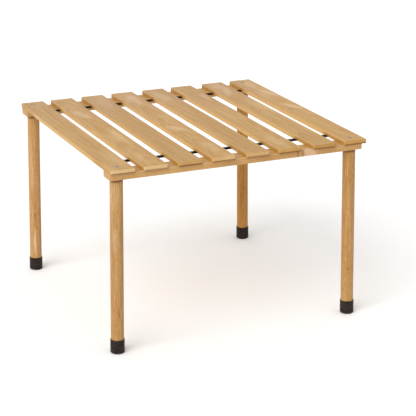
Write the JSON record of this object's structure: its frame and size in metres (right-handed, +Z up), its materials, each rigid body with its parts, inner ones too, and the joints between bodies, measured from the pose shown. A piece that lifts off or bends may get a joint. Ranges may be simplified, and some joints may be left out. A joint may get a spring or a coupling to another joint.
{
  "type": "folding side table",
  "caption": "Low square camping side table with a roll-up slatted wooden top on webbing straps, cross rails, round screw-in legs and rubber foot caps.",
  "frame": {"origin": "on the floor, under the middle of the tabletop", "axes": "+Z up, +X along the rails from left to right, +Y along the slats from front to rear"},
  "size_m": [0.58, 0.58, 0.4025],
  "materials": {
    "slat_wood": "oiled honey-coloured softwood with fine straight grain and small pale knots, satin",
    "rail_wood": "the same honey-coloured softwood, satin",
    "leg_wood": "turned honey-coloured dowel with long grain, satin",
    "webbing": "black woven webbing",
    "staple_steel": "zinc-plated staple wire",
    "eyelet_steel": "nickel-plated pressed ring",
    "stud_steel": "zinc-plated steel stud",
    "insert_brass": "plain brass",
    "cap_rubber": "black-brown moulded rubber, dull satin"
  },
  "bodies": {
    "slat_body_1": {"slat_1": "slat_wood", "front_strap_1": "webbing", "rear_strap_1": "webbing", "staples_1": "staple_steel", "slat_eyelet_front_left": "eyelet_steel", "slat_eyelet_rear_left": "eyelet_steel"},
    "slat_body_2": {"slat_2": "slat_wood", "front_strap_2": "webbing", "rear_strap_2": "webbing", "staples_2": "staple_steel"},
    "slat_body_3": {"slat_3": "slat_wood", "front_strap_3": "webbing", "rear_strap_3": "webbing", "staples_3": "staple_steel"},
    "slat_body_4": {"slat_4": "slat_wood", "front_strap_4": "webbing", "rear_strap_4": "webbing", "staples_4": "staple_steel"},
    "slat_body_5": {"slat_5": "slat_wood", "front_strap_5": "webbing", "rear_strap_5": "webbing", "staples_5": "staple_steel"},
    "slat_body_6": {"slat_6": "slat_wood", "front_strap_6": "webbing", "rear_strap_6": "webbing", "staples_6": "staple_steel"},
    "slat_body_7": {"slat_7": "slat_wood", "front_strap_7": "webbing", "rear_strap_7": "webbing", "staples_7": "staple_steel"},
    "slat_body_8": {"slat_8": "slat_wood", "front_strap_8": "webbing", "rear_strap_8": "webbing", "staples_8": "staple_steel", "slat_eyelet_front_right": "eyelet_steel", "slat_eyelet_rear_right": "eyelet_steel"},
    "front_frame": {"front_rail": "rail_wood", "rail_insert_front_left": "insert_brass", "rail_insert_front_right": "insert_brass"},
    "leg_body_front_left": {"leg_front_left": "leg_wood", "leg_stud_front_left": "stud_steel", "foot_cap_front_left": "cap_rubber"},
    "leg_body_front_right": {"leg_front_right": "leg_wood", "leg_stud_front_right": "stud_steel", "foot_cap_front_right": "cap_rubber"},
    "rear_frame": {"rear_rail": "rail_wood", "rail_insert_rear_left": "insert_brass", "rail_insert_rear_right": "insert_brass"},
    "leg_body_rear_left": {"leg_rear_left": "leg_wood", "leg_stud_rear_left": "stud_steel", "foot_cap_rear_left": "cap_rubber"},
    "leg_body_rear_right": {"leg_rear_right": "leg_wood", "leg_stud_rear_right": "stud_steel", "foot_cap_rear_right": "cap_rubber"}
  },
  "joints": [
    {"name": "roll_up", "type": "hinge", "parent": "slat_body_8", "child": "slat_body_7", "pos_m": [0.2265, 0, 0.393], "axis": [0, 1, 0], "range_deg": [0, 60]},
    {"name": "fold_6_7", "type": "hinge", "parent": "slat_body_7", "child": "slat_body_6", "pos_m": [0.149, 0, 0.393], "axis": [0, 1, 0], "range_deg": [0, 64.01]},
    {"name": "fold_5_6", "type": "hinge", "parent": "slat_body_6", "child": "slat_body_5", "pos_m": [0.07175, 0, 0.393], "axis": [0, 1, 0], "range_deg": [0, 68.01]},
    {"name": "fold_4_5", "type": "hinge", "parent": "slat_body_5", "child": "slat_body_4", "pos_m": [-0.004, 0, 0.393], "axis": [0, 1, 0], "range_deg": [0, 72.01]},
    {"name": "fold_3_4", "type": "hinge", "parent": "slat_body_4", "child": "slat_body_3", "pos_m": [-0.08025, 0, 0.393], "axis": [0, 1, 0], "range_deg": [0, 76.01]},
    {"name": "fold_2_3", "type": "hinge", "parent": "slat_body_3", "child": "slat_body_2", "pos_m": [-0.15525, 0, 0.393], "axis": [0, 1, 0], "range_deg": [0, 80.01]},
    {"name": "fold_1_2", "type": "hinge", "parent": "slat_body_2", "child": "slat_body_1", "pos_m": [-0.22825, 0, 0.393], "axis": [0, 1, 0], "range_deg": [0, 84.01]},
    {"name": "front_rail_drop", "type": "slide", "parent": "slat_body_8", "child": "front_frame", "axis": [0, 0, -1], "range_m": [0, 0.03]},
    {"name": "rear_rail_drop", "type": "slide", "parent": "slat_body_8", "child": "rear_frame", "axis": [0, 0, -1], "range_m": [0, 0.03]},
    {"name": "leg_front_left_unscrew", "type": "slide", "parent": "front_frame", "child": "leg_body_front_left", "axis": [-0.0133, -0.0093, -0.9999], "range_m": [0, 0.045]},
    {"name": "leg_front_right_unscrew", "type": "slide", "parent": "front_frame", "child": "leg_body_front_right", "axis": [0.0133, -0.0093, -0.9999], "range_m": [0, 0.045]},
    {"name": "leg_rear_left_unscrew", "type": "slide", "parent": "rear_frame", "child": "leg_body_rear_left", "axis": [-0.0133, 0.0093, -0.9999], "range_m": [0, 0.045]},
    {"name": "leg_rear_right_unscrew", "type": "slide", "parent": "rear_frame", "child": "leg_body_rear_right", "axis": [0.0133, 0.0093, -0.9999], "range_m": [0, 0.045]}
  ],
  "couplings": [
    {"joint": "fold_6_7", "follows": "roll_up", "ratio": 1.0667},
    {"joint": "fold_5_6", "follows": "roll_up", "ratio": 1.1333},
    {"joint": "fold_4_5", "follows": "roll_up", "ratio": 1.2},
    {"joint": "fold_3_4", "follows": "roll_up", "ratio": 1.2667},
    {"joint": "fold_2_3", "follows": "roll_up", "ratio": 1.3333},
    {"joint": "fold_1_2", "follows": "roll_up", "ratio": 1.4}
  ]
}
